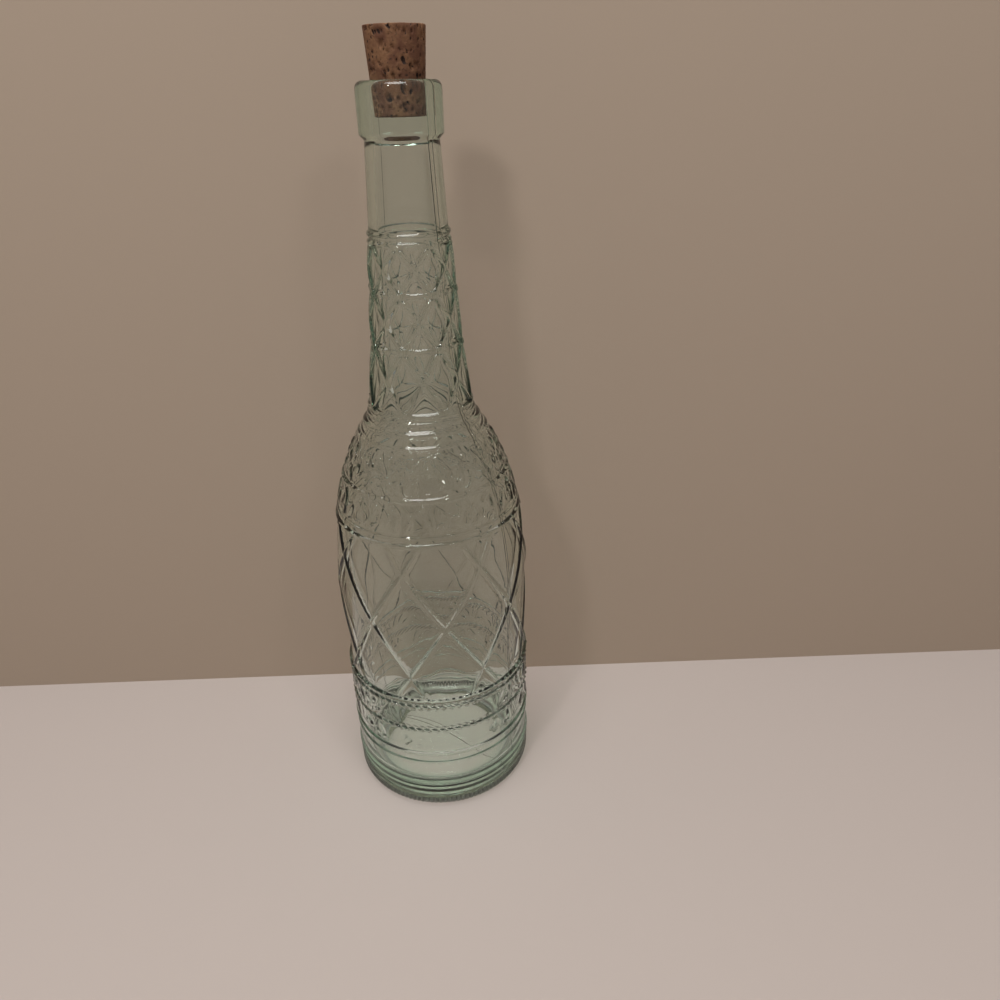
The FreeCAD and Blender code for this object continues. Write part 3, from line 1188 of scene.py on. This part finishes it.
@dataclass(frozen=True)
class BottleGlass:
    """Pale aqua bottle glass, greener the more of it light crosses, with painted shade in the grooves of its
    ropes and beads; levels and heights in millimetres.
    """

    absorbed: tuple[float, float, float, float] = (0.21, 0.59, 0.38, 1.0)
    density: float = 40.0
    cast: tuple[float, float, float, float] = (0.84, 0.77, 0.79, 1.0)
    index: float = 1.5
    roughness: float = 0.012
    seam_angle: float = math.radians(46.0)
    seam_height: float = 0.15
    vine_foot: float = 139.0
    vine_top: float = 168.5
    vine_height: float = 0.17
    ropes: tuple[float, float] = (45.8, 58.4)
    rope_strands: int = 76
    beads: int = 120
    # How strongly painted shade darkens the rope and bead grooves.
    groove_shade: float = 0.8
    inside_radius: float = 35.4

    def material(self) -> bpy.types.Material:
        """Write the glass, which lets the lamps' light through with a faint cast.

        Returns:
            The material.
        """
        material, tree, output = new_material("bottle_glass")
        place = add_node(tree, "ShaderNodeTexCoord").outputs["Object"]
        x, y, z = (part * PER_MM for part in split(tree, place))
        angle = x.math("ARCTAN2", -y)
        radius = x.hypot(y)
        values = {"Strength": 1.0, "Distance": MM, "Height": self.fine_lines(angle, z, radius)}
        bump = add_node(tree, "ShaderNodeBump", None, values)
        # Painted shade: the base colour is darkened in the rope and bead grooves.
        light = self.shade(angle, z, radius)
        shade = add_node(tree, "ShaderNodeCombineColor", None, {0: light, 1: light, 2: light}).outputs[0]
        shader = add_node(
            tree, "ShaderNodeBsdfPrincipled", None,
            {
                "Base Color": shade,
                "Roughness": self.roughness,
                "IOR": self.index,
                "Transmission Weight": 1.0,
                "Normal": bump.outputs[0],
            },
        )
        values = {"Color": self.absorbed, "Density": self.density}
        depth = add_node(tree, "ShaderNodeVolumeAbsorption", None, values)
        lit = add_node(tree, "ShaderNodeBsdfTransparent", None, {"Color": self.cast})
        from_lamp = add_node(tree, "ShaderNodeLightPath").outputs["Is Shadow Ray"]
        values = {0: from_lamp, 1: shader.outputs[0], 2: lit.outputs[0]}
        surface = add_node(tree, "ShaderNodeMixShader", None, values)
        feed(tree, output.inputs["Surface"], surface.outputs[0])
        feed(tree, output.inputs["Volume"], depth.outputs[0])
        return material

    def fine_lines(self, angle: Wire, z: Wire, radius: Wire) -> Wire:
        """Write the lines too fine for the mesh: the mould seams and the thinnest tendrils.

        Args:
            angle: Angle round the bottle.
            z: Height in millimetres.
            radius: Radius in millimetres.

        Returns:
            How far they stand proud, in millimetres.
        """
        seam = abs((angle - self.seam_angle).wrapped(math.pi)) * radius
        curl = (angle * 18.0 + (z * 0.42).math("SINE") * 1.5).math("SINE")
        curl = curl + (angle * 9.0 + z * 0.55).math("SINE") * 0.9
        broken = (angle * 23.0 + z * 0.8).math("SINE").ramp(-0.3, 0.5)
        vine = (1.0 - abs(curl - 0.35).ramp(0.02, 0.30)) * broken
        vine = vine * (z - self.vine_foot).ramp(0.0, 1.5) * (self.vine_top - z).ramp(0.0, 1.5)
        return (1.0 - seam.ramp(0.05, 0.4)) * self.seam_height + vine * self.vine_height

    def shade(self, angle: Wire, z: Wire, radius: Wire) -> Wire:
        """Paint shade into the grooves of the ropes and beads by darkening the glass's base colour there.

        Args:
            angle: Angle round the bottle.
            z: Height in millimetres.
            radius: Radius in millimetres.

        Returns:
            The share of the base colour left under the painted shade.
        """
        groove = bead_grooves(angle, self.beads) * (1.0 - abs(z - 3.2).ramp(1.2, 2.4))
        for level in self.ropes:
            aside = z - level
            strand = rope_grooves(angle, aside, self.rope_strands)
            groove = groove + strand * (1.0 - abs(aside).ramp(0.6, 1.1))
        on_outside = (radius - self.inside_radius).ramp(0.0, 0.3)
        return 1.0 - groove * on_outside * self.groove_shade


@dataclass(frozen=True)
class CorkBark:
    """Reddish tan cork with dark pores."""

    pale: tuple[float, float, float, float] = (0.207, 0.100, 0.046, 1.0)
    deep: tuple[float, float, float, float] = (0.119, 0.046, 0.022, 1.0)
    pit: tuple[float, float, float, float] = (0.023, 0.008, 0.004, 1.0)
    roughness: float = 0.85

    def material(self) -> bpy.types.Material:
        """Write the cork.

        Returns:
            The material.
        """
        material, tree, output = new_material("cork_bark")
        place = add_node(tree, "ShaderNodeTexCoord").outputs["Object"]
        patch = noise(tree, {"Vector": place, "Scale": 210.0, "Detail": 5.0})
        fleck = noise(tree, {"Vector": place, "Scale": 1300.0, "Detail": 3.0})
        values = {0: patch.ramp(0.36, 0.66), 6: self.deep, 7: self.pale}
        ground = add_node(tree, "ShaderNodeMix", {"data_type": "RGBA"}, values).outputs[2]
        pore = cork_pores(tree, place)[0].larger(fleck.ramp(0.58, 0.72) * 0.7)
        values = {0: pore, 6: ground, 7: self.pit}
        holed = add_node(tree, "ShaderNodeMix", {"data_type": "RGBA"}, values).outputs[2]
        values = {"Strength": 0.5, "Distance": 0.3 * MM, "Height": fleck}
        bump = add_node(tree, "ShaderNodeBump", None, values)
        shader = add_node(
            tree, "ShaderNodeBsdfPrincipled", None,
            {"Base Color": holed, "Roughness": self.roughness, "Normal": bump.outputs[0]},
        )
        feed(tree, output.inputs["Surface"], shader.outputs[0])
        return material


# ---- studio -------------------------------------------------------------------------------------


class Tint(Enum):
    """Colours of the studio, as linear values."""

    WALL = (0.430, 0.345, 0.275, 1.0)
    FLOOR = (0.520, 0.458, 0.430, 1.0)
    LAMP = (1.0, 0.985, 0.96)
    WORLD = (0.20, 0.19, 0.18, 1.0)


@dataclass(frozen=True)
class Matt:
    """A matt finish of one colour; a one-sided one is clear from behind."""

    name: str
    tint: Tint
    one_sided: bool = False

    def material(self) -> bpy.types.Material:
        """Write the finish.

        Returns:
            The material.
        """
        material, tree, output = new_material(self.name)
        shader = add_node(tree, "ShaderNodeBsdfDiffuse", None, {"Color": self.tint.value}).outputs[0]
        if self.one_sided:
            clear = add_node(tree, "ShaderNodeBsdfTransparent").outputs[0]
            behind = add_node(tree, "ShaderNodeNewGeometry").outputs["Backfacing"]
            values = {0: behind, 1: shader, 2: clear}
            shader = add_node(tree, "ShaderNodeMixShader", None, values).outputs[0]
        feed(tree, output.inputs["Surface"], shader)
        return material


@dataclass(frozen=True)
class Lamp:
    """A soft lamp placed by its bearing from the front, its height and its distance."""

    name: str
    bearing: float
    elevation: float
    distance: float
    size: float
    power: float

    def hang(self, aim: Vector) -> None:
        """Hang the lamp so that it looks at a point.

        Args:
            aim: The point.
        """
        bearing, lift = math.radians(self.bearing), math.radians(self.elevation)
        across, forward = math.sin(bearing) * math.cos(lift), math.cos(bearing) * math.cos(lift)
        away = Vector((across, -forward, math.sin(lift)))
        data = bpy.data.lights.new(self.name, "AREA")
        data.shape = "DISK"
        data.size = self.size
        data.energy = self.power
        data.color = Tint.LAMP.value
        lamp = bpy.data.objects.new(self.name, data)
        lamp.location = aim + away * self.distance
        lamp.rotation_euler = away.to_track_quat("Z", "Y").to_euler()
        bpy.context.scene.collection.objects.link(lamp)


@dataclass(frozen=True)
class Studio:
    """The floor, the wall behind, the lamps and the camera."""

    wall_distance: float = 54.0 * MM
    wall_turn: float = -9.22
    reach: float = 1.6
    eye: tuple[float, float, float] = (-22.9 * MM, -290.6 * MM, 288.5 * MM)
    heading: float = -10.39
    tilt: float = 62.08
    roll: float = -1.37
    lens: float = 28.37
    lamps: tuple[Lamp, ...] = (
        Lamp("left lamp", -36.0, 46.0, 0.95, 0.10, 1.7),
        Lamp("right lamp", 24.0, 46.0, 0.95, 0.10, 0.6),
        Lamp("soft top", -18.0, 74.0, 1.3, 0.8, 12.3),
    )

    def sheet(self, name: str, corners: list[tuple[float, float, float]], finish: Matt) -> None:
        """Add one flat sheet of the set.

        Args:
            name: The sheet's name.
            corners: Its corners, anticlockwise from the side that shows.
            finish: Its finish.
        """
        mesh = bpy.data.meshes.new(name)
        mesh.from_pydata(corners, [], [tuple(range(len(corners)))])
        mesh.materials.append(finish.material())
        made = bpy.data.objects.new(name, mesh)
        bpy.context.scene.collection.objects.link(made)

    def build_set(self) -> None:
        """Lay the floor and stand the wall."""
        far, back = self.reach, self.wall_distance
        corners = [(-far, -far, 0.0), (far, -far, 0.0), (far, far, 0.0), (-far, far, 0.0)]
        self.sheet("floor", corners, Matt("floor_matt", Tint.FLOOR))
        turn = Matrix.Rotation(math.radians(self.wall_turn), 4, "Z")
        corners = [(-far, back, 0.0), (far, back, 0.0), (far, back, far), (-far, back, far)]
        corners = [tuple(turn @ Vector(corner)) for corner in corners]
        self.sheet("backdrop", corners, Matt("wall_matt", Tint.WALL, True))

    def hang_lamps(self) -> None:
        """Hang the lamps and set the light from all round."""
        for lamp in self.lamps:
            lamp.hang(Vector((0.0, 0.0, 0.15)))
        world = bpy.data.worlds.new("studio")
        world.use_nodes = True
        world.node_tree.nodes["Background"].inputs[0].default_value = Tint.WORLD.value
        bpy.context.scene.world = world

    def place_camera(self) -> None:
        """Place the camera and set how colours are shown."""
        camera_data = bpy.data.cameras.new("camera")
        camera_data.lens = self.lens
        camera_data.sensor_width = 36.0
        camera_data.clip_start = 0.01
        camera = bpy.data.objects.new("camera", camera_data)
        turn = (
            Matrix.Rotation(math.radians(self.heading), 4, "Z")
            @ Matrix.Rotation(math.radians(self.tilt), 4, "X")
            @ Matrix.Rotation(math.radians(self.roll), 4, "Z")
        )
        camera.matrix_world = Matrix.Translation(self.eye) @ turn
        bpy.context.scene.collection.objects.link(camera)
        scene = bpy.context.scene
        scene.camera = camera
        scene.view_settings.view_transform = "Standard"


def main() -> None:
    """Load the frame, build each piece on it and set the studio."""
    logging.basicConfig(level=logging.INFO, format="%(name)s: %(message)s")
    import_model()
    bottle = GlassBottle().build(BottleGlass().material())
    cork_low, cork_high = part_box("cork")
    cork = CorkStopper(cork_low.z, cork_high.z).build(CorkBark().material())
    for piece, node, slot in ((bottle, "bottle", "glass"), (cork, "cork", "cork")):
        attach(piece, "root")
        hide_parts(node)
        piece.data.calc_loop_triangles()
        LOG.info("%s: %d triangles", piece.name, len(piece.data.loop_triangles))
    studio = Studio()
    studio.build_set()
    studio.hang_lamps()
    studio.place_camera()
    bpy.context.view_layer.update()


if __name__ == "__main__":
    main()
